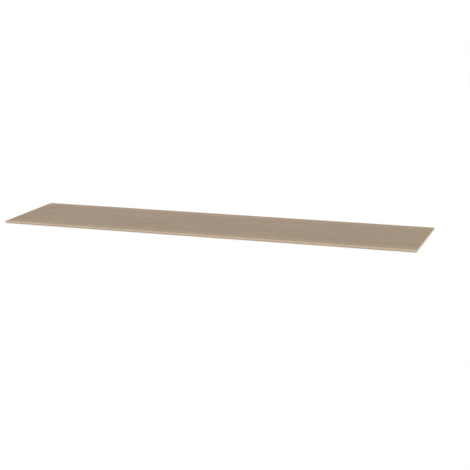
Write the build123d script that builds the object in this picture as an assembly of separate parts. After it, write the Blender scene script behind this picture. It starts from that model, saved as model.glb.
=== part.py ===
# A sheet of gypsum wallboard: a plaster core between two paper liners, made as one long
# strip and sawn to length.
#
# The sheet lies flat as such board is stored, with its back liner up and its decorating face
# down. The face liner is the wider of the two. It covers the face, follows the taper along both
# long edges, wraps round each edge and folds over on to the back. The back liner is narrower: it
# covers the core and most of each fold, and stops short of the long edges, so that a narrow band
# of the lighter face liner stays bare beside each edge. The long edges are the half-round
# tapered kind. The two ends are sawn square, and the white core shows there between the edges
# of the paper.
#
# Frame: X runs along the sheet, Y across it and Z up. The origin is the middle of the face
# that the sheet lies on. Sizes are millimetres.

from build123d import *
import os

# The sheet over all
sheet_length = 2600.0
sheet_width = 600.0
sheet_thickness = 12.5

# The paper liners
face_liner_thickness = 0.4
back_liner_thickness = 0.35

# The long edges: the face falls away over taper_width to a joint recess taper_depth deep, and
# is rounded into the upright part of the edge.
taper_width = 50.0
taper_depth = 1.3
edge_round_radius = 6.5

# The fold on to the back: the paper turns round the back corner and reaches fold_width in from
# the edge. Of that, fold_bare_width is left uncovered by the back liner.
fold_corner_radius = 0.9
fold_width = 25.0
fold_bare_width = 10.0

# Levels and half sizes that follow from them
half_width = sheet_width / 2
wrap_top = sheet_thickness - back_liner_thickness
back_liner_width = sheet_width - 2 * fold_bare_width
bare_core_width = sheet_width - 2 * fold_width


def corners_at(sketch, distance, height):
    """The two corners of a section that stand at that distance either side of its middle."""
    return [
        sketch.vertices().sort_by_distance((0, side * distance, height))[0]
        for side in (-1, 1)
    ]


def strip_section(width, bottom, top):
    """A flat strip of the section, centred across the sheet, between two levels."""
    return Plane.YZ * Pos(0, (bottom + top) / 2) * Rectangle(width, top - bottom)


def wrapped_section():
    """What the face liner wraps: the section of the sheet without its back liner."""
    outline = Plane.YZ * make_face(
        Polyline(
            (-half_width, wrap_top),
            (-half_width, taper_depth),
            (taper_width - half_width, 0),
            (half_width - taper_width, 0),
            (half_width, taper_depth),
            (half_width, wrap_top),
            close=True,
        )
    )
    outline = fillet(corners_at(outline, half_width, taper_depth), edge_round_radius)
    return fillet(corners_at(outline, half_width, wrap_top), fold_corner_radius)


def core_section(wrapped):
    """The plaster: inside the face liner all round, and up to the back liner between the folds."""
    inside = offset(wrapped, -face_liner_thickness, kind=Kind.INTERSECTION)
    between_folds = strip_section(bare_core_width, wrap_top / 2, wrap_top)
    return inside + between_folds


def run_the_length(section):
    """The strip as it leaves the line, sawn square at both ends."""
    return extrude(section, amount=sheet_length / 2, dir=(1, 0, 0), both=True)


wrapped = wrapped_section()
core = core_section(wrapped)

pieces = {
    "gypsum_core": run_the_length(core),
    "face_liner": run_the_length(wrapped - core),
    "back_liner": run_the_length(strip_section(back_liner_width, wrap_top, sheet_thickness)),
}

os.makedirs("parts", exist_ok=True)
for name, piece in pieces.items():
    export_step(piece, f"parts/{name}.step")
    print(name, "solids", len(piece.solids()), "volume", round(piece.volume))
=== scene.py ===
# %% [markdown]
# # A sheet of gypsum wallboard
#
# This lesson dresses one sheet of wallboard, 2.6 m long, 600 mm wide and 12.5 mm thick. It lies
# on a pale floor with its back up, as such board is stored.
#
# A wallboard is three things pressed together while the plaster is wet. The face liner is the
# wide, light paper. It covers the face, runs up both long edges and is folded over on to the
# back. The core is foamed plaster. The back liner is a greyer paper that closes the back. Each
# of them becomes one mesh here, because each has its own surface and its own edge to show.

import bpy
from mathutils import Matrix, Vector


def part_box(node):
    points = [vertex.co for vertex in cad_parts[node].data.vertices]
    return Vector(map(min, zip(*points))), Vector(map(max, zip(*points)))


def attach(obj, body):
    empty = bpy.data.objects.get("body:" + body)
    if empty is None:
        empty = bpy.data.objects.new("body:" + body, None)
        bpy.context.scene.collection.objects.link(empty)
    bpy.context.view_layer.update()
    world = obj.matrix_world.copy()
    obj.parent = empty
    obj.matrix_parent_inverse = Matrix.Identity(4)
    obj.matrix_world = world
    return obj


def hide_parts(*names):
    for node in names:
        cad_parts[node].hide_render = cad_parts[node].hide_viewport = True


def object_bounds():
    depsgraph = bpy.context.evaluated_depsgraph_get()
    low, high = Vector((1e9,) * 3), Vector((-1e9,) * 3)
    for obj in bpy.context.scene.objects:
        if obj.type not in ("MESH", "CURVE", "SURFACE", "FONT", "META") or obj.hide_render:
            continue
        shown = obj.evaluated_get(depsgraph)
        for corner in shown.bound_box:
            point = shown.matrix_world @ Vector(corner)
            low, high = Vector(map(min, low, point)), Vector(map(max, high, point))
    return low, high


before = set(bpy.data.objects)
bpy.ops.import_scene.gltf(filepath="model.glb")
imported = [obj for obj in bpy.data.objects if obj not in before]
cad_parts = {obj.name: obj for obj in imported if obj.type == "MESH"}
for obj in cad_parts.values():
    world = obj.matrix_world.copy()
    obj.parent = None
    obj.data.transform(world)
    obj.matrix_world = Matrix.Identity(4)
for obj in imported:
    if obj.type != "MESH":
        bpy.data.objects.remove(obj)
cad_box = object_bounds()
print("frame nodes:", sorted(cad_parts))

# %% [markdown]
# ## Sizes that come from the frame
#
# The frame already holds the sheet at its real size, in metres. Measuring its nodes is better
# than typing the sizes again: if the sheet changes, the looks follow. The back paper is flat, so
# its box is as thick as the paper. The face paper is bent, and its thickness is how far its box
# stands out past the core's.

# %% Measure the sheet
import math
import random

import bmesh
import bpy
from mathutils import Matrix, Vector, kdtree, noise

mm = 0.001

face_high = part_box("face_liner")[1]
core_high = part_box("gypsum_core")[1]
back_low, back_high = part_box("back_liner")

half_length = face_high.x
half_width = face_high.y
wrap_top = face_high.z
sheet_top = back_high.z
face_paper = face_high.y - core_high.y
back_paper = back_high.z - back_low.z
back_half_width = back_high.y
print(f"sheet {2 * half_length:.3f} x {2 * half_width:.3f} x {sheet_top:.4f} m")
print(f"face paper {face_paper / mm:.2f} mm, back paper {back_paper / mm:.2f} mm")

# %% [markdown]
# ## The long edge
#
# A box says nothing about the shape of the long edge, so its few sizes are named here. The face
# falls away over the last 50 mm, which makes room for the tape and filler of a joint, and then
# it turns up in a half-round. At the back corner the paper folds sharply and lies on the back.
#
# The round is an arc that touches the sloping face below it and the upright part above it. Its
# centre follows from that: it is one radius away from both lines.

# %% Name the edge sizes
taper_width = 50 * mm
taper_depth = 1.3 * mm
edge_round = 6.5 * mm
fold_round = 0.9 * mm
fold_width = 25 * mm

taper_start = half_width - taper_width
taper_angle = math.atan2(taper_depth, taper_width)
round_y = half_width - edge_round
round_z = edge_round / math.cos(taper_angle) + (round_y - taper_start) * math.tan(taper_angle)
fold_y = half_width - fold_round
fold_z = wrap_top - fold_round
fold_end = half_width - fold_width
print(f"upright part of the edge {(fold_z - round_z) / mm:.2f} mm high")

# %% [markdown]
# ## Drawing a section with operators
#
# The sheet is the same all along its length, so a section line is drawn once and swept. A bmesh
# line can grow from a single vertex: extrudes and translates make a straight run, and a spin
# makes a round. The line is drawn for one half of the sheet and mirrored later, so both edges
# are alike.
#
# A list of points worked out by hand would do the same, but it would hide what each stretch is.


# %% Helpers for the section line
def at(y, z):
    """A point of the section, in the plane across the middle of the sheet."""
    return Vector((0, y, z))


def run_to(bm, vert, y, z, longest):
    """A straight run to a point, in equal steps no longer than the one named."""
    way = at(y, z) - vert.co
    steps = math.ceil(way.length / longest)
    for _ in range(steps):
        vert = bmesh.ops.extrude_vert_indiv(bm, verts=[vert])["verts"][0]
        bmesh.ops.translate(bm, verts=[vert], vec=way / steps)
    return vert


def verts_in(made):
    """The vertices among the mixed parts that an operator returns."""
    return [item for item in made if isinstance(item, bmesh.types.BMVert)]


def turn_about(bm, vert, y, z, angle, steps):
    """A round: the vertex is spun about a centre in the section."""
    made = bmesh.ops.spin(
        bm, geom=[vert], cent=at(y, z), axis=(1, 0, 0), dvec=(0, 0, 0), angle=angle, steps=steps
    )
    return verts_in(made["geom_last"])[0]


def wrap_line(bm, inset, longest, steps):
    """Half of the line that the face liner follows, from the middle of the face to the end
    of its round. The inset moves it inwards, as by a paper's thickness."""
    kink = taper_start - inset * math.tan(taper_angle / 2)
    radius = edge_round - inset
    vert = bmesh.ops.create_vert(bm, co=at(0, inset))["vert"][0]
    vert = run_to(bm, vert, kink, inset, longest)
    touch_y = round_y + radius * math.sin(taper_angle)
    touch_z = round_z - radius * math.cos(taper_angle)
    vert = run_to(bm, vert, touch_y, touch_z, longest)
    return turn_about(bm, vert, round_y, round_z, math.pi / 2 - taper_angle, steps)


round_steps = 12

trial = bmesh.new()
round_end = wrap_line(trial, 0, half_width, round_steps)
print(f"the round ends {round_end.co.y:.4f} m out and {round_end.co.z / mm:.2f} mm up")
trial.free()

# %% [markdown]
# ## From a line to a sheet
#
# A sweep is an extrude of the line's edges with a translate, once for each station along the
# sheet. An Array modifier could repeat one slice instead, but then all slices would be alike,
# and here the ends need finer ones.
#
# The papers are swept as open surfaces and get their thickness last. The order matters: the half
# is mirrored, the doubled points on the middle are merged, the faces are turned outwards, and
# only then does solidify add the inner side.

# %% Helpers for sweeping and mirroring
merge_reach = 0.01 * mm


def carry_on(bm, edges, step):
    """Extrudes a line of edges along the sheet and returns the edges of the new line."""
    made = bmesh.ops.extrude_edge_only(bm, edges=edges)["geom"]
    verts = verts_in(made)
    bmesh.ops.translate(bm, verts=verts, vec=(step, 0, 0))
    new_line = set(verts)
    new_edges = [item for item in made if isinstance(item, bmesh.types.BMEdge)]
    return [edge for edge in new_edges if set(edge.verts) <= new_line]


def sweep(bm, edges, stations):
    """Carries a section line from the first station to each of the others in turn."""
    line = {vert for edge in edges for vert in edge.verts}
    bmesh.ops.translate(bm, verts=list(line), vec=(stations[0], 0, 0))
    for here, there in zip(stations, stations[1:]):
        edges = carry_on(bm, edges, there - here)


def mirror_across(bm):
    """Makes the other half of the sheet, merges the middle and turns the faces outwards."""
    bmesh.ops.mirror(bm, geom=bm.verts[:] + bm.edges[:] + bm.faces[:], axis="Y")
    bmesh.ops.remove_doubles(bm, verts=bm.verts, dist=merge_reach)
    bmesh.ops.recalc_face_normals(bm, faces=bm.faces)


def even_stations(reach, step):
    """Places along the sheet from one end of a reach to the other, about a step apart."""
    count = round(2 * reach / step)
    return [reach * (2 * index / count - 1) for index in range(count + 1)]


print("five stations, in shares of the reach:", even_stations(1, 0.5))


# %% [markdown]
# ## Paper at a sawn end
#
# The board is cut to length by a saw once the plaster has set. The blade leaves the paper
# with a fine ragged lip that is lifted a little off the core. A bump map could shade such a lip,
# but it can't change the outline, and the outline is what shows.
#
# The lip needs points about a millimetre apart, and the rest of the paper needs hardly any. So
# the papers are swept a little short, the points of the last edge are multiplied there, and a
# narrow fringe of small faces is extruded from it. Noise then moves the fringe, more towards its
# tip. Noise gives the same value for the same place, so the lip is the same on every run.

# %% Helpers that grow the fringe
fringe_steps = 3
fringe_step = 0.5 * mm
fringe_depth = fringe_steps * fringe_step
fringe_pitch = 1.1 * mm
fringe_start = half_length - fringe_depth


def rim_at(bm, x):
    """The edges that run across the sheet at one place along it."""
    return [e for e in bm.edges if all(abs(v.co.x - x) < fringe_step / 5 for v in e.verts)]


def grow_fringe(bm, side):
    """Extrudes rows of small faces from the paper's edge at one end of the sheet."""
    for edge in rim_at(bm, side * fringe_start):
        cuts = math.ceil(edge.calc_length() / fringe_pitch) - 1
        if cuts > 0:
            bmesh.ops.subdivide_edges(bm, edges=[edge], cuts=cuts)
    rim = rim_at(bm, side * fringe_start)
    for _ in range(fringe_steps):
        rim = carry_on(bm, rim, side * fringe_step)


print(f"the fringe starts {fringe_depth / mm:.1f} mm from each end")

# %% Helpers that ruffle the fringe
ragged_grain = 2.3 * mm
ends_apart = 3
finer = 2.7
broader = 0.5
fine_share = 0.4
lift_noise_place = Vector((7, 0, 0))


def ruffle_fringe(bm, ragged, lift, seed):
    """Moves the fringe along the sheet and off its face, by noise that grows to the tip. The
    seed and the end decide which part of the noise is read."""
    bm.normal_update()
    moves = []
    for vert in bm.verts:
        tip = 1 - (half_length - abs(vert.co.x)) / fringe_depth
        if tip <= 0:
            continue
        side = math.copysign(1, vert.co.x)
        y, z = vert.co.y / ragged_grain, vert.co.z / ragged_grain
        where = Vector((side * ends_apart + seed, y, z))
        coarse_part = (1 - fine_share) * noise.noise(where)
        out = ragged * tip * (coarse_part + fine_share * noise.noise(where * finer))
        up = lift * tip * tip * (0.5 + noise.noise(where * broader + lift_noise_place))
        moves.append((vert, Vector((side * out, 0, 0)) + vert.normal * up))
    for vert, move in moves:
        vert.co += move
    print(f"fringe: {len(moves)} points moved")


def keep_above(bm, level):
    """Lays paper flat where it would sink into what it lies on."""
    for vert in bm.verts:
        vert.co.z = max(vert.co.z, level)


# %% [markdown]
# ## Laying a piece out flat
#
# A finish made of nodes has no pixels. When a model leaves Blender, its finish is painted on to
# a square picture, and a UV map says which part of the picture each face gets. Blender can work
# out such a map by itself, and then every face gets its share by area. That suits a chair, but
# a sheet's sawn end is a long sliver, and its voids would be painted with five rows of pixels.
#
# So each piece gets a map of its own, named OFBake. The picture is filled with rows, each as
# wide as the picture. A row holds one side of the piece, and a side that is much seen is cut into
# strips, one row each. What lies inside the sheet gets little.
#
# The nodes don't read this map. They read places on the sheet, so no seam shows where a strip
# ends.


# %% Ways to look at a side
def from_above(point):
    """Along the sheet and across it."""
    return point.x, point.y


def from_the_side(point):
    """Along the sheet and up."""
    return point.x, point.z


def from_the_end(point):
    """Across the sheet and up."""
    return point.y, point.z


def round_the_edge(point):
    """As if the sheet were unrolled: going up its edge counts as going on outwards."""
    return point.x, point.y + math.copysign(point.z, point.y)


corner = Vector((half_length, half_width, sheet_top))
print("the top corner, unrolled:", [round(value, 4) for value in round_the_edge(corner)])

# %% Helpers that lay a piece out flat
picture_name = "OFBake"
row_margin = 0.008
row_gap = 0.002


def lay_row(picture, faces, foot, seen, strips, share):
    """Fits one side into its rows and returns how much of its length a row holds.

    A face across two strips goes to the one with its middle, and the margin takes the rest."""
    places = [seen(vert.co) for face in faces for vert in face.verts]
    left, right = min(s for s, t in places), max(s for s, t in places)
    low, high = min(t for s, t in places), max(t for s, t in places)
    strip_length = (right - left) / strips
    row_height = share / strips
    for face in faces:
        middle = seen(face.calc_center_median())[0]
        strip = min(int((middle - left) / strip_length), strips - 1)
        for loop in face.loops:
            s, t = seen(loop.vert.co)
            s_share = (s - left) / strip_length - strip
            t_share = (t - low) / (high - low)
            loop[picture].uv = (
                row_margin + s_share * (1 - 2 * row_margin),
                foot + row_height * strip + row_gap + t_share * (row_height - 2 * row_gap),
            )
    return strip_length


def lay_out(bm, side_of, rows):
    """Fills the picture from its foot. For each side, rows says how its points are seen, how
    many strips it is cut into and what share of the picture's height it gets."""
    bm.normal_update()
    picture = bm.loops.layers.uv.new(picture_name)
    sides = {side: [] for side in rows}
    for face in bm.faces:
        sides[side_of(face, face.calc_center_median())].append(face)
    foot = 0
    for side, row in rows.items():
        strip_length = lay_row(picture, sides[side], foot, **row)
        foot += row["share"]
        print(f"{side}: {len(sides[side])} faces, {strip_length / mm:.0f} mm to a row")


# %% [markdown]
# ## Closing a piece
#
# Every piece ends in the same way. A face that meets its neighbour at a shallow angle is shaded
# smoothly and a sharp edge stays sharp. An Edge Split modifier would do that too, but it opens
# the mesh, and marks on the edges leave it closed.
#
# Some operators give their new parts in another order on each run. The shape is the same, but
# two exports could not be compared, so the parts are put in the order of their places.
#
# The object stays at the origin, unturned and unscaled, with its place in its mesh. It is
# parented to the body that it rides on, and the node of the frame that it stands for is hidden.


# %% Helpers that make the object
def place_of(part):
    """Where a vertex, an edge or a face is, as the sum of its corners. It is given rounded
    first, because its last digits also differ between runs, and in full for a tie."""
    corners = [part] if isinstance(part, bmesh.types.BMVert) else part.verts
    place = sum((vert.co for vert in corners), Vector())
    return tuple(round(value / merge_reach) for value in place) + tuple(place)


def settle_order(parts):
    """Puts the vertices, edges or faces of a mesh in the order of their places."""
    for index, part in enumerate(sorted(parts, key=place_of)):
        part.index = index
    parts.sort()


crease = math.radians(35)


def make_piece(bm, name, node):
    """Turns a bmesh into a named object that stands for one node of the frame."""
    for parts in (bm.verts, bm.edges, bm.faces):
        settle_order(parts)
    for edge in bm.edges:
        edge.smooth = len(edge.link_faces) == 2 and edge.calc_face_angle(math.pi) < crease
    for face in bm.faces:
        face.smooth = True
    mesh = bpy.data.meshes.new(name)
    bm.to_mesh(mesh)
    open_edges = sum(not edge.is_manifold for edge in bm.edges)
    volume = bm.calc_volume(signed=True)
    bm.free()
    piece = bpy.data.objects.new(name, mesh)
    bpy.context.scene.collection.objects.link(piece)
    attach(piece, "root")
    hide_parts(node)
    mesh.calc_loop_triangles()
    print(f"{name}: {len(mesh.loop_triangles)} triangles, {open_edges} open edges, {volume:.6f} m3")
    return piece


# %% [markdown]
# ## The plaster core
#
# The core is the only part that shows its inside, at the two sawn ends. Foamed plaster is full
# of small round voids, and the saw opens them and leaves faint upright scratches.
#
# A flat end with a bump map would look right only from straight ahead. Here the section is
# filled with small faces: the lower line is extruded up to the top line, and the uprights
# between them are subdivided. The filled section is extruded along the sheet, and then the
# points of both ends are moved.

# %% Core: the top line
fold_step = 0.02 * mm


def core_top(y):
    """Height of the core's upper side: level between the folds, and lower under each fold."""
    under_fold = wrap_top - face_paper
    corner = fold_round - face_paper
    past = abs(y) - fold_y
    if abs(y) < fold_end + fold_step / 2:
        return wrap_top
    if past <= 0:
        return under_fold
    return under_fold - corner + math.sqrt(max(corner**2 - past**2, 0))


print(f"step under the fold: {(core_top(0) - core_top(fold_y)) / mm:.2f} mm")

# %% Core: fill the section
core_pitch = 0.8 * mm
core_rows = 15
hair = 0.001 * mm

core = bmesh.new()
wrap_line(core, face_paper, core_pitch, round_steps)

# The two points nearest to the step move on to it, along the sloping face.
beside_step = sorted(core.verts, key=lambda vert: abs(vert.co.y - fold_end))[:2]
beside_step.sort(key=lambda vert: vert.co.y)
for vert, y in zip(beside_step, (fold_end, fold_end + fold_step)):
    vert.co.z += (y - vert.co.y) * math.tan(taper_angle)
    vert.co.y = y

made = bmesh.ops.extrude_edge_only(core, edges=core.edges[:])["geom"]
for vert in verts_in(made):
    vert.co.z = core_top(vert.co.y)
uprights = [e for e in core.edges if abs(e.verts[0].co.y - e.verts[1].co.y) < hair]
bmesh.ops.subdivide_edges(core, edges=uprights, cuts=core_rows, use_grid_fill=True)
print(f"half section: {len(core.faces)} faces")

# %% Core: run it the length of the sheet
bmesh.ops.translate(core, verts=core.verts, vec=(-half_length, 0, 0))
made = bmesh.ops.extrude_face_region(core, geom=core.faces[:])["geom"]
bmesh.ops.translate(core, verts=verts_in(made), vec=(2 * half_length, 0, 0))
middle = [f for f in core.faces if all(abs(v.co.y) < hair for v in f.verts)]
bmesh.ops.delete(core, geom=middle, context="FACES")
mirror_across(core)
print(f"core: {len(core.faces)} faces")

# %% [markdown]
# ## Saw marks and voids
#
# Of the voids that the saw opens, the larger ones are modelled, more than two hundred at each
# end. They are placed by chance, clear of the paper and of each other, and none lies in the hard
# edges, where the plaster has no foam.
#
# Faces fine enough for a round void would be far too many all over the end. So only the faces
# under each void are subdivided. A void could then be pressed in by its distance alone, but its
# rim would follow the grid and look ragged. Instead the points next to the rim are first moved
# on to it, and only the points inside sink, in the shape of a slightly flattened ball.
#
# The saw's marks are two noises, a fine one and a broad one, both drawn out upwards as the teeth
# went. They fade out in the dense skin beside the paper.

# %% Core: place the voids
voids_at_an_end = 240
void_radii = (0.35 * mm, 1.5 * mm, 0.45 * mm)
hard_edge_width = 16 * mm
skin = 0.7 * mm
void_seed = 5
random.seed(void_seed)


def underside(y):
    """Height of the core's lower side, without the round."""
    return face_paper + max(0, abs(y) - taper_start) * math.tan(taper_angle)


def place_voids():
    """Places and radii of the voids of one end."""
    placed = []
    while len(placed) < voids_at_an_end:
        radius = random.triangular(*void_radii)
        y = random.uniform(-1, 1) * (half_width - hard_edge_width)
        z = random.uniform(underside(y) + skin + radius, core_top(y) - skin - radius)
        on_step = abs(abs(y) - fold_end) < radius + core_pitch
        apart = all(math.dist((y, z), spot[:2]) > radius + spot[2] + skin / 2 for spot in placed)
        if apart and not on_step:
            placed.append((y, z, radius))
    return placed


voids = {side: place_voids() for side in (-1, 1)}
print(f"{len(voids[1])} voids at each end")

# %% Core: finer faces under the voids
fine_cuts = 2
fine_pitch = core_pitch / (fine_cuts + 1)
half_diagonal = 0.7 * core_pitch


def section_lookup(places):
    """A search tree over places of the section."""
    tree = kdtree.KDTree(len(places))
    for index, place in enumerate(places):
        tree.insert(at(place.y, place.z), index)
    tree.balance()
    return tree


coarse = len(core.faces)
under_voids = set()
for side in (-1, 1):
    end = [face for face in core.faces if all(side * v.co.x > 0 for v in face.verts)]
    lookup = section_lookup([face.calc_center_median() for face in end])
    for y, z, radius in voids[side]:
        for _, index, _ in lookup.find_range(at(y, z), radius + half_diagonal):
            under_voids.update(end[index].edges)
to_cut = [edge for edge in core.edges if edge in under_voids]
bmesh.ops.subdivide_edges(core, edges=to_cut, cuts=fine_cuts, use_grid_fill=True)
print(f"faces: {coarse}, and {len(core.faces)} with the finer ones")

# %% Core: scratch the ends
scratch_depth = 0.1 * mm
fine_mark = (1.2 * mm, 10 * mm)
broad_mark = (17 * mm, 30 * mm)
mark_share = 0.3
marks_apart = 9


def saw_mark(side, y, z, size):
    """Noise across the end, as wide and as high as one mark of the saw."""
    width, height = size
    return noise.noise(Vector((side * marks_apart, y / width, z / height)))


def scratch_at(side, y, z):
    """Depth of the saw's mark at a point, from about 0 to 1."""
    fine = saw_mark(side, y, z, fine_mark)
    broad = saw_mark(side, y, z, broad_mark)
    return 0.5 + mark_share * fine + mark_share * broad


for vert in core.verts:
    y, z = vert.co.y, vert.co.z
    to_paper = min(z - underside(y), core_top(y) - z, half_width - face_paper - abs(y))
    share = min(1, max(0, to_paper / skin))
    side = math.copysign(1, vert.co.x)
    vert.co.x -= side * scratch_depth * share * scratch_at(side, y, z)
deepest = half_length - min(abs(vert.co.x) for vert in core.verts)
print(f"deepest scratch: {deepest / mm:.3f} mm")

# %% Core: open the voids
void_depth_share = 0.8


def open_void(verts, lookup, y, z, radius):
    """Moves the points near the rim on to it and sinks the points inside."""
    for _, index, distance in lookup.find_range(at(y, z), radius + fine_pitch / 2):
        vert = verts[index]
        if distance > radius - fine_pitch / 2:
            vert.co.y += (vert.co.y - y) * (radius / distance - 1)
            vert.co.z += (vert.co.z - z) * (radius / distance - 1)
        else:
            depth = void_depth_share * math.sqrt(radius**2 - distance**2)
            vert.co.x -= math.copysign(depth, vert.co.x)


for side in (-1, 1):
    end = [vert for vert in core.verts if side * vert.co.x > 0]
    lookup = section_lookup([vert.co for vert in end])
    for spot in voids[side]:
        open_void(end, lookup, *spot)
deepest = half_length - min(abs(vert.co.x) for vert in core.verts)
print(f"deepest void: {deepest / mm:.2f} mm")

# %% Core: lay it out and close it
end_depth = 2 * mm


def core_side(face, middle):
    """The side of the core that a face belongs to."""
    if half_length - abs(middle.x) < end_depth:
        return "right end" if middle.x > 0 else "left end"
    return "back" if face.normal.z > 0.5 else "face and edges"


lay_out(
    core,
    core_side,
    {
        "right end": dict(seen=from_the_end, strips=5, share=0.42),
        "left end": dict(seen=from_the_end, strips=5, share=0.42),
        "back": dict(seen=from_above, strips=1, share=0.08),
        "face and edges": dict(seen=round_the_edge, strips=1, share=0.08),
    },
)
plaster_core = make_piece(core, "plaster_core", "gypsum_core")

# %% [markdown]
# ## The face liner
#
# One strip of paper goes all the way round: over the face, up the edge and over the fold on to
# the back. It is drawn as one line on its outer side, swept, mirrored, and thickened inwards,
# so the wrap has a real thickness at the sawn ends and at the end of each fold.
#
# A Solidify modifier would thicken it too. The operator is used because the paper is still
# worked on afterwards: the lip that the saw left under the sheet would sink into the floor, so
# it is laid flat there, as the sheet's own weight does.

# %% Face liner: sweep it
face_step = 24 * mm
upright_step = 1.2 * mm
fold_paper_step = 5 * mm
outer_round_steps = 14
fold_round_steps = 6
face_station = 130 * mm
face_ragged = 0.5 * mm
face_lift = 0.07 * mm

wrap = bmesh.new()
tip = wrap_line(wrap, 0, face_step, outer_round_steps)
tip = run_to(wrap, tip, half_width, fold_z, upright_step)
tip = turn_about(wrap, tip, fold_y, fold_z, math.pi / 2, fold_round_steps)
run_to(wrap, tip, fold_end, wrap_top, fold_paper_step)
sweep(wrap, wrap.edges[:], even_stations(fringe_start, face_station))
for side in (-1, 1):
    grow_fringe(wrap, side)
mirror_across(wrap)
ruffle_fringe(wrap, face_ragged, face_lift, seed=0)
bmesh.ops.solidify(wrap, geom=wrap.faces[:], thickness=face_paper)
keep_above(wrap, 0)


# %% Face liner: lay it out and close it
def wrap_side(face, middle):
    """The side of the wrap that a face belongs to."""
    if abs(face.normal.x) > 0.7:
        return "right end" if middle.x > 0 else "left end"
    on_back = middle.z > wrap_top / 2
    if on_back and face.normal.z > 0.5:
        return "rear fold" if middle.y > 0 else "front fold"
    up = 1 if on_back else -1
    outwards = math.copysign(1, middle.y) * face.normal.y + up * face.normal.z
    return "outside" if outwards > 0 else "inside"


lay_out(
    wrap,
    wrap_side,
    {
        "outside": dict(seen=round_the_edge, strips=2, share=0.82),
        "front fold": dict(seen=from_above, strips=2, share=0.05),
        "rear fold": dict(seen=from_above, strips=2, share=0.05),
        "inside": dict(seen=round_the_edge, strips=1, share=0.04),
        "right end": dict(seen=from_the_end, strips=1, share=0.02),
        "left end": dict(seen=from_the_end, strips=1, share=0.02),
    },
)
face_wrap = make_piece(wrap, "face_liner_wrap", "face_liner")

# %% [markdown]
# ## The back liner
#
# The back liner is laid on last. It is narrower than the sheet, and its two long edges are
# pressed into the folds, where a lighter band of face liner stays bare beside them. Where the
# fold ends under it, the paper rises in a ridge about a tenth of a millimetre high, which the
# eye finds in flat light. Its long edges waver a little, as it wanders while it is laid on.
#
# One thin box would cover all but this. The sweep is used again, because it lets the points lie
# close together where the paper bends and far apart where it is flat. A flat sheet of faces has
# no inside, so after its normals are recalculated they are checked, and turned up if need be.

# %% Back liner: sweep it
back_step = 30 * mm
ridge_step = 1.3 * mm
edge_step = 1.5 * mm
back_station = 20 * mm
ridge_half_width = 5 * mm

back = bmesh.new()
tip = bmesh.ops.create_vert(back, co=at(0, sheet_top))["vert"][0]
tip = run_to(back, tip, fold_end - ridge_half_width, sheet_top, back_step)
tip = run_to(back, tip, fold_end + ridge_half_width, sheet_top, ridge_step)
run_to(back, tip, back_half_width, sheet_top, edge_step)
sweep(back, back.edges[:], even_stations(fringe_start, back_station))
for side in (-1, 1):
    grow_fringe(back, side)
mirror_across(back)
print(f"back liner: {len(back.faces)} faces before it gets its thickness")

# %% Back liner: ridges and pressed edges
ridge_height = 0.09 * mm
edge_press = 0.12 * mm
press_width = 4 * mm
waver = 0.6 * mm
waver_width = 12 * mm
wavers_per_metre = 4.1
ripples_per_metre = 31
ripple_share = 0.4
waver_inset_share = 0.35
wavers_apart = 2.7
ripples_apart = 6.1
back_ragged = 0.55 * mm
back_lift = 0.1 * mm


def wander_at(x, side):
    """How far the paper's edge has wandered at a place along the sheet, in shares of the waver."""
    slow = noise.noise(Vector((x * wavers_per_metre, side * wavers_apart, 0)))
    quick = noise.noise(Vector((x * ripples_per_metre, side * ripples_apart, 0)))
    return slow + ripple_share * quick - waver_inset_share


for vert in back.verts:
    out = abs(vert.co.y)
    side = math.copysign(1, vert.co.y)
    to_ridge = min(1, abs(out - fold_end) / ridge_half_width)
    ridge = math.cos(math.pi / 2 * to_ridge) ** 2
    pressed = max(0, 1 - (back_half_width - out) / press_width) ** 2
    vert.co.z += ridge_height * ridge - edge_press * pressed
    near_edge = max(0, 1 - (back_half_width - out) / waver_width)
    vert.co.y += side * waver * near_edge * wander_at(vert.co.x, side)
ruffle_fringe(back, back_ragged, back_lift, seed=20)
bmesh.ops.recalc_face_normals(back, faces=back.faces)
if sum(f.normal.z for f in back.faces) < 0:
    bmesh.ops.reverse_faces(back, faces=back.faces)
bmesh.ops.solidify(back, geom=back.faces[:], thickness=back_paper)
keep_above(back, wrap_top)


# %% Back liner: lay it out and close it
def back_side(face, middle):
    """The side of the back liner that a face belongs to."""
    if abs(face.normal.z) > 0.5:
        return "outside" if face.normal.z > 0 else "inside"
    if abs(face.normal.x) > 0.5:
        return "right end" if middle.x > 0 else "left end"
    return "rear edge" if middle.y > 0 else "front edge"


lay_out(
    back,
    back_side,
    {
        "outside": dict(seen=from_above, strips=2, share=0.86),
        "inside": dict(seen=from_above, strips=1, share=0.06),
        "right end": dict(seen=from_the_end, strips=1, share=0.02),
        "left end": dict(seen=from_the_end, strips=1, share=0.02),
        "front edge": dict(seen=from_the_side, strips=1, share=0.02),
        "rear edge": dict(seen=from_the_side, strips=1, share=0.02),
    },
)
back_sheet = make_piece(back, "back_liner_sheet", "back_liner")

# %% [markdown]
# ## Writing a finish as a formula
#
# A procedural finish is mostly arithmetic: a mask times a strength, added to another mask. As
# nodes it takes dozens of links, and as Python it takes one line. The small class below wraps a
# socket, and each operator adds the Math node that it stands for.
#
# Every other node comes from one method, which takes the node's type, its settings and the values
# or links of its sockets. The settings come first, because they decide which sockets there are.


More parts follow.
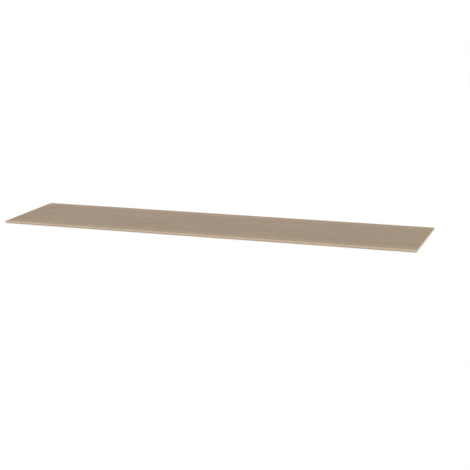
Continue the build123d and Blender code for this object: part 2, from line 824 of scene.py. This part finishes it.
# %% Helpers for node formulas
class Value:
    """What varies from place to place, such as a number or a colour: one output of a node."""

    def __init__(self, nodes, socket):
        self.nodes = nodes
        self.socket = socket

    def output(self, name):
        """Another output of the node that this value comes from."""
        return Value(self.nodes, self.socket.node.outputs[name])

    def math(self, operation, first, second):
        """One Math node on two values or plain numbers."""
        return self.nodes.node("Math", {"operation": operation}, {0: first, 1: second})

    def __add__(self, other):
        return self.math("ADD", self, other)

    def __sub__(self, other):
        return self.math("SUBTRACT", self, other)

    def __rsub__(self, other):
        return self.math("SUBTRACT", other, self)

    def __mul__(self, other):
        return self.math("MULTIPLY", self, other)

    def __truediv__(self, other):
        return self.math("DIVIDE", self, other)

    def __pow__(self, other):
        return self.math("POWER", self, other)

    def __abs__(self):
        return self.math("ABSOLUTE", self, 0)

    def at_least(self, floor):
        return self.math("MAXIMUM", self, floor)

    __radd__ = __add__
    __rmul__ = __mul__


class Nodes:
    """The nodes of one material or world, with one way to add any of them."""

    def __init__(self, owner):
        owner.use_nodes = True
        self.tree = owner.node_tree

    def node(self, kind, settings=None, sockets=None, output=0):
        """Adds a node and returns one of its outputs."""
        made = self.tree.nodes.new("ShaderNode" + kind)
        for name, value in (settings or {}).items():
            setattr(made, name, value)
        for name, value in (sockets or {}).items():
            self.feed(made.inputs[name], value)
        return Value(self, made.outputs[output])

    def feed(self, socket, value):
        """Links a value to a socket, or sets the socket to a plain number or colour."""
        if isinstance(value, Value):
            self.tree.links.new(value.socket, socket)
        else:
            socket.default_value = value


# %% [markdown]
# ## Short ways to common nodes
#
# Most of a finish is noise, soft steps and mixed colours, so each of these gets a short method.
# The noise reads the place on the object, in metres. Blender could also stretch a pattern over
# the object's box, but on a sheet two hundred times as long as it is thick every grain would
# turn into a streak.


# %% Helper for one finish
class Finish(Nodes):
    """One procedural material on a Principled shader."""

    def __init__(self, name, **constants):
        self.material = bpy.data.materials.new(name)
        super().__init__(self.material)
        self.shader = self.tree.nodes["Principled BSDF"]
        self.set(**constants)
        self.place = self.node("TexCoord", output="Object")

    def set(self, **sockets):
        """Feeds the shader's own sockets, with _ for each space in a socket's name."""
        for name, value in sockets.items():
            self.feed(self.shader.inputs[name.replace("_", " ")], value)

    def noise(self, size, stretch=(1, 1, 1), detail=2, roughness=0.5, shift=0):
        """Noise whose grains are about this size in metres, longer where stretch is more."""
        scale = [1 / (size * part) for part in stretch]
        sockets = {"Vector": self.place, "Scale": scale, "Location": [shift] * 3}
        place = self.node("Mapping", {}, sockets)
        sockets = {"Vector": place, "Scale": 1, "Detail": detail, "Roughness": roughness}
        return self.node("TexNoise", {}, sockets)

    def ramp(self, value, start, end):
        """0 below start, 1 above end and a smooth rise between them."""
        sockets = {"Value": value, "From Min": start, "From Max": end}
        return self.node("MapRange", {"interpolation_type": "SMOOTHSTEP"}, sockets)

    def mix(self, factor, first, second):
        """A colour that goes from the first to the second as the factor goes from 0 to 1."""
        return self.node("Mix", {"data_type": "RGBA"}, {0: factor, 6: first, 7: second}, 2)

    def bump(self, height, depth, strength):
        """The shading of a relief: height from 0 to 1, times a depth in metres."""
        sockets = {"Height": height, "Distance": depth, "Strength": strength}
        self.set(Normal=self.node("Bump", {}, sockets))

    def give_to(self, piece):
        """Puts the finish on a piece."""
        piece.data.materials.append(self.material)
        print(f"{self.material.name}: {len(self.tree.nodes)} nodes, on {piece.name}")


# %% Colours and tones
def colour(red, green, blue):
    """A colour written as on a screen, from 0 to 255, in the linear values that nodes take."""
    parts = [c / 255 for c in (red, green, blue)]
    linear = [c / 12.92 if c <= 0.04045 else ((c + 0.055) / 1.055) ** 2.4 for c in parts]
    return (*linear, 1)


def mixed_tone(masks, **strengths):
    """A tone about one half, which each of the named masks raises or lowers by its strength."""
    tone = 0.5
    for name, strength in strengths.items():
        tone = tone + (masks[name] - 0.5) * strength
    return tone


print("a mid grey in linear values:", round(colour(128, 128, 128)[0], 3))


# %% Distances on the sheet
def across(finish):
    """Distance from the middle of the sheet, across it, in metres."""
    return abs(finish.node("SeparateXYZ", {}, {0: finish.place}, "Y"))


def along(finish):
    """Distance from the middle of the sheet, along it, in metres."""
    return abs(finish.node("SeparateXYZ", {}, {0: finish.place}, "X"))


def unrolled(finish):
    """The place on the paper as if it were unrolled: X along the sheet, Y round its edge.

    Going down the upright part of an edge counts as going on outwards."""
    x = finish.node("SeparateXYZ", {}, {0: finish.place}, "X")
    y = x.output("Y")
    side = finish.node("Math", {"operation": "SIGN"}, {0: y})
    return finish.node("CombineXYZ", {}, {"X": x, "Y": y - side * x.output("Z")})


# %% [markdown]
# ## Recycled paper
#
# Both liners are recycled paper. From a few steps away such paper is an even brown with a soft
# cloudiness. Close up it is a felt that is nowhere quite the same, and loose fibres about two
# millimetres long lie on it, some darker and some lighter, together with a rare speck of ink.
# The helpers below give all of these, and each paper takes as much of each as it needs.
#
# The loose fibres are the hard part, since no texture node draws thin curved lines. A Voronoi
# pattern can place them: it says where the middle of the nearest cell is, and gives each cell a
# colour of its own by chance. Seen from its middle, each cell is turned by one chance, and a
# narrow parabola through the middle is a fibre, bent by another.


# %% Paper: the masks that both liners share
def paper_masks(finish):
    """The parts of a paper surface by name, each a value from about 0 to 1."""
    return {
        "tooth": finish.noise(0.4 * mm, (1.8, 1, 1), detail=3, roughness=0.7, shift=9.2),
        "felt": finish.noise(2.4 * mm, (1.7, 1, 1), detail=3, roughness=0.6, shift=3.7),
        "mottle": finish.noise(9 * mm, (1.4, 1, 1), detail=2, roughness=0.5, shift=6.4),
        "cloud": finish.noise(38 * mm, (1.6, 1, 1), detail=3, roughness=0.55, shift=1.3),
        "wash": finish.noise(260 * mm, (1.7, 1, 1), detail=2, roughness=0.5, shift=8.1),
    }


torn_width = 1.5 * mm
torn_waver = 2 * mm


def torn_ends(finish, masks):
    """1 on the torn lip at a sawn end and 0 further in, with an uneven border."""
    out = along(finish) + (masks["felt"] - 0.5) * torn_waver
    return finish.ramp(out, half_length - torn_width, half_length)


# %% Paper: loose fibres and specks
fibre_bend = 2.5
fibre_fade = (0.3, 0.5)
smallest_mark = 0.02


def loose_fibres(finish, spacing, width, kept, shift):
    """Thin curved lines, one in each cell at most: up to 1 on a fibre and 0 beside it."""
    sockets = {"Vector": unrolled(finish), "Scale": [1 / spacing] * 3, "Location": [shift] * 3}
    place = finish.node("Mapping", {}, sockets)
    cells = finish.node("TexVoronoi", {"voronoi_dimensions": "2D"}, {"Vector": place, "Scale": 1})
    sockets = {0: place, 1: cells.output("Position")}
    from_middle = finish.node("VectorMath", {"operation": "SUBTRACT"}, sockets)
    chance = finish.node("SeparateColor", {}, {0: cells.output("Color")})
    sockets = {"Vector": from_middle, "Angle": chance * math.tau}
    turned = finish.node("VectorRotate", {"rotation_type": "Z_AXIS"}, sockets)
    out = finish.node("SeparateXYZ", {}, {0: turned})
    off_line = abs(out.output("Y") + out * out * (chance.output("Green") - 0.5) * fibre_bend)
    half = width / spacing / 2
    line = (1 - finish.ramp(off_line, half / 2, half)) * (1 - finish.ramp(abs(out), *fibre_fade))
    return line * (1 - finish.ramp(chance.output("Blue"), 0, kept))


def round_marks(finish, spacing, largest, shift):
    """Round marks of many sizes, the largest given in cells, each 1 deep like half a ball."""
    place = finish.node("Mapping", {}, {"Vector": finish.place, "Location": [shift] * 3})
    cells = finish.node("TexVoronoi", {}, {"Vector": place, "Scale": 1 / spacing})
    chance = finish.node("SeparateColor", {}, {0: cells.output("Color")})
    out = cells / (smallest_mark + largest * chance**3)
    return (1 - out * out).at_least(0) ** 0.5


# %% [markdown]
# ## The two papers
#
# The back liner is the greyer and rougher of the two, and it is a little lighter beside the long
# edges. The face liner is the sheet's good side: lighter, smoother and cleaner. The torn lip at
# a sawn end is paler than the paper's face in both, because the tear opens fresh fibres.
#
# Each paper starts from two tones of its own, mixed by the masks. Fibres, specks and torn ends
# are then laid over them one after another, as coats of paint would be. A single brown with a
# little noise would be quicker, but it reads as plastic as soon as the camera comes near.


# %% Back liner paper
lighter_from = half_width - 95 * mm
lightest_from = half_width - 45 * mm


def back_liner_finish():
    """Grey-brown paper with a dull satin face, a little lighter beside the long edges."""
    paper = Finish("back_liner_paper", Specular_IOR_Level=0.25)
    masks = paper_masks(paper)
    tone = mixed_tone(masks, wash=0.6, cloud=0.7, mottle=0.6, felt=1.1, tooth=1.4)
    body = paper.mix(tone, colour(139, 119, 96), colour(164, 145, 122))

    beside_edge = paper.ramp(across(paper), lighter_from, lightest_from)
    body = paper.mix(beside_edge * 0.2, body, colour(188, 168, 145))

    dark_fibres = loose_fibres(paper, spacing=2.2 * mm, width=0.13 * mm, kept=0.55, shift=12.4)
    light_fibres = loose_fibres(paper, spacing=2.7 * mm, width=0.15 * mm, kept=0.6, shift=27.2)
    specks = round_marks(paper, spacing=5 * mm, largest=0.09, shift=33.1)
    body = paper.mix(dark_fibres * 0.6, body, colour(98, 83, 68))
    body = paper.mix(light_fibres * 0.55, body, colour(210, 197, 177))
    body = paper.mix(specks * 0.7, body, colour(84, 74, 66))
    body = paper.mix(torn_ends(paper, masks) * 0.5, body, colour(190, 176, 155))

    paper.set(Base_Color=body, Roughness=0.62 + (masks["felt"] - 0.5) * 0.3)
    relief = masks["tooth"] * 0.6 + masks["felt"] * 0.4 + light_fibres * 0.3 - dark_fibres * 0.2
    paper.bump(relief, depth=0.2 * mm, strength=0.7)
    return paper


back_liner_finish().give_to(back_sheet)


# %% Face liner paper
def face_liner_finish():
    """Light tan paper, smoother and cleaner than the back."""
    paper = Finish("face_liner_paper", Specular_IOR_Level=0.3)
    masks = paper_masks(paper)
    tone = mixed_tone(masks, wash=0.5, cloud=0.5, mottle=0.4, felt=0.6, tooth=0.8)
    body = paper.mix(tone, colour(193, 170, 140), colour(217, 197, 168))

    dark_fibres = loose_fibres(paper, spacing=2 * mm, width=0.1 * mm, kept=0.4, shift=16.8)
    light_fibres = loose_fibres(paper, spacing=2.4 * mm, width=0.13 * mm, kept=0.5, shift=41.5)
    body = paper.mix(dark_fibres * 0.35, body, colour(150, 128, 101))
    body = paper.mix(light_fibres * 0.4, body, colour(234, 221, 200))
    body = paper.mix(torn_ends(paper, masks) * 0.5, body, colour(226, 214, 194))

    paper.set(Base_Color=body, Roughness=0.56 + (masks["felt"] - 0.5) * 0.25)
    relief = masks["tooth"] * 0.5 + masks["felt"] * 0.5 + light_fibres * 0.3 - dark_fibres * 0.2
    paper.bump(relief, depth=0.12 * mm, strength=0.6)
    return paper


face_liner_finish().give_to(face_wrap)

# %% [markdown]
# ## Foamed plaster
#
# The core is off-white and quite matt. Its voids are painted darker inside, as painted shade,
# because light gets lost in them. How far a point lies along the sheet tells whether it is in a
# modelled one. Between them are many voids too small to model, so round marks of two sizes are
# added, darkened in colour as painted shade and pressed in by a bump. The saw adds upright
# scratches.
#
# Along its two long edges the plaster is mixed without foam, to make the edges hard. It is
# creamier there and has few voids. A photograph of real plaster could be laid on instead, but
# it would blur close up and repeat along the end, and noise does neither.


# %% Plaster
def plaster_masks(finish):
    """The parts of the plaster's surface by name, each a value from about 0 to 1."""
    return {
        "cloud": finish.noise(11 * mm, (1, 1, 0.7), detail=4, roughness=0.6, shift=2.2),
        "grain": finish.noise(0.8 * mm, (1, 1, 1), detail=4, roughness=0.7, shift=4.8),
        "scratches": finish.noise(0.5 * mm, (1, 1, 14), detail=3, roughness=0.6, shift=6.3),
    }


hard_from = half_width - hard_edge_width
hardest_from = half_width - 6 * mm
void_floor = half_length - 0.3 * mm
void_rim = half_length - 0.12 * mm


def plaster_finish():
    """Off-white foamed plaster with pits, powder and the upright scratches of the saw."""
    plaster = Finish("gypsum_plaster", Specular_IOR_Level=0.2)
    masks = plaster_masks(plaster)
    tone = mixed_tone(masks, cloud=0.8, grain=1.6, scratches=0.6)
    body = plaster.mix(tone, colour(229, 221, 206), colour(248, 242, 230))

    hard_edge = plaster.ramp(across(plaster), hard_from, hardest_from)
    body = plaster.mix(hard_edge * 0.5, body, colour(248, 241, 219))

    large_pits = round_marks(plaster, spacing=1.4 * mm, largest=0.5, shift=5.2)
    small_pits = round_marks(plaster, spacing=0.7 * mm, largest=0.6, shift=9.6)
    pits = (large_pits + small_pits) * (1 - hard_edge * 0.7)
    # Painted shade: the small pits are darkened in colour, as shade falls in small hollows.
    body = plaster.mix(pits * 0.4, body, colour(182, 172, 156))

    # Painted shade: the modelled voids are darkened in colour where they sink in.
    painted_void_shade = 1 - plaster.ramp(along(plaster), void_floor, void_rim)
    body = plaster.mix(painted_void_shade * 0.35, body, colour(176, 166, 149))

    plaster.set(Base_Color=body, Roughness=0.88 + (masks["grain"] - 0.5) * 0.16)
    relief = masks["grain"] * 0.5 + masks["scratches"] * 0.15 - pits * 0.35
    plaster.bump(relief, depth=1 * mm, strength=0.9)
    return plaster


plaster_finish().give_to(plaster_core)

# %% [markdown]
# ## Floor
#
# The sheet lies on a plain pale floor that reads as white. The floor takes light as any matt
# surface does, so it keeps the soft shadow under the rounded edges, and a little glow is added
# for what the camera and reflections see, which lifts it to white. A stronger lamp would lift it
# too, but it would wash out the sheet as well. Hardly any of the glow falls on the sheet.

# %% Floor: the plane
floor_half_side = 60.0
floor_gap = 0.05 * mm

grid = bmesh.new()
bmesh.ops.create_grid(grid, x_segments=1, y_segments=1, size=floor_half_side)
bmesh.ops.translate(grid, verts=grid.verts, vec=(0, 0, cad_box[0].z - floor_gap))
floor_mesh = bpy.data.meshes.new("floor")
grid.to_mesh(floor_mesh)
grid.free()
floor = bpy.data.objects.new("floor", floor_mesh)
bpy.context.scene.collection.objects.link(floor)
print(f"floor: {2 * floor_half_side:.0f} m square")

# %% Floor: its finish
floor_share = 0.88
floor_lift = 0.13


def grey(share):
    """A neutral colour that gives back this share of the light."""
    return share, share, share, 1


def seen_rays(nodes):
    """1 for rays from the camera, mirrors and glass, and 0 for rays that carry light."""
    rays = nodes.node("LightPath", output="Is Camera Ray")
    return rays.at_least(rays.output("Is Glossy Ray")).at_least(rays.output("Is Transmission Ray"))


floor_material = bpy.data.materials.new("pale_floor")
floor_nodes = Nodes(floor_material)
floor_nodes.tree.nodes.remove(floor_nodes.tree.nodes["Principled BSDF"])
matt = floor_nodes.node("BsdfDiffuse", {}, {"Color": grey(floor_share)})
lift = floor_nodes.node("Emission", {}, {"Strength": seen_rays(floor_nodes) * floor_lift})
both = floor_nodes.node("AddShader", {}, {0: matt, 1: lift})
floor_nodes.feed(floor_nodes.tree.nodes["Material Output"].inputs["Surface"], both)
floor_mesh.materials.append(floor_material)
print(f"{floor_material.name}: {len(floor_nodes.tree.nodes)} nodes")

# %% [markdown]
# ## Light
#
# The light is that of a plain studio. Seven tenths of it come evenly from all round, and three
# tenths from one wide, soft sun, high in front of the long edge. Together they light a level
# surface so that its colour renders as it is written, and the papers keep the tones that they
# were given. With the even light alone the rounded edges and the voids would look flat. What
# the camera sees of the world itself is pure white.

# %% World and sun
world_light = 0.7
sun_share = 0.3
sun_elevation = math.radians(66)
sun_azimuth = math.radians(35)
sun_size = math.radians(70)

world = bpy.data.worlds.new("studio")
world_nodes = Nodes(world)
background = world_nodes.tree.nodes["Background"]
background.inputs["Color"].default_value = grey(1)
brightness = world_light + (1 - world_light) * seen_rays(world_nodes)
world_nodes.feed(background.inputs["Strength"], brightness)
bpy.context.scene.world = world

sun_data = bpy.data.lights.new("soft_sun", "SUN")
sun_data.energy = sun_share * math.pi / math.sin(sun_elevation)
sun_data.angle = sun_size
sun = bpy.data.objects.new("soft_sun", sun_data)
sun.rotation_euler = (math.pi / 2 - sun_elevation, 0, sun_azimuth)
bpy.context.scene.collection.objects.link(sun)
print(f"sun {sun_data.energy:.2f} W/m2")

# %% [markdown]
# ## Camera
#
# The camera stands a little above the sheet and well back, with a long lens, so the far end of
# the sheet is only a little smaller than the near one. It could be placed by its own
# coordinates, but they say nothing about the picture. It is placed by what it looks at instead:
# the point where its axis meets the sheet's back, how far off it stands, and its three angles.

# %% Camera
aim = Vector((0.2133, -0.2404, sheet_top))
distance = 6.4545
azimuth = math.radians(19.53)
elevation = math.radians(13.18)
roll = math.radians(-0.57)
focal_length_in_mm = 83.85

camera_data = bpy.data.cameras.new("camera")
camera_data.lens = focal_length_in_mm
camera = bpy.data.objects.new("camera", camera_data)
turned = Matrix.Rotation(azimuth, 4, "Z") @ Matrix.Rotation(math.pi / 2 - elevation, 4, "X")
turned = turned @ Matrix.Rotation(roll, 4, "Z")
back_along_axis = turned @ Vector((0, 0, distance))
camera.matrix_world = Matrix.Translation(aim + back_along_axis) @ turned
bpy.context.scene.collection.objects.link(camera)
bpy.context.scene.camera = camera
print("camera at", [round(value, 3) for value in camera.matrix_world.translation])

# %% [markdown]
# ## Colour
#
# The Standard view transform shows a colour as it is.

# %% Finish
bpy.context.scene.view_settings.view_transform = "Standard"
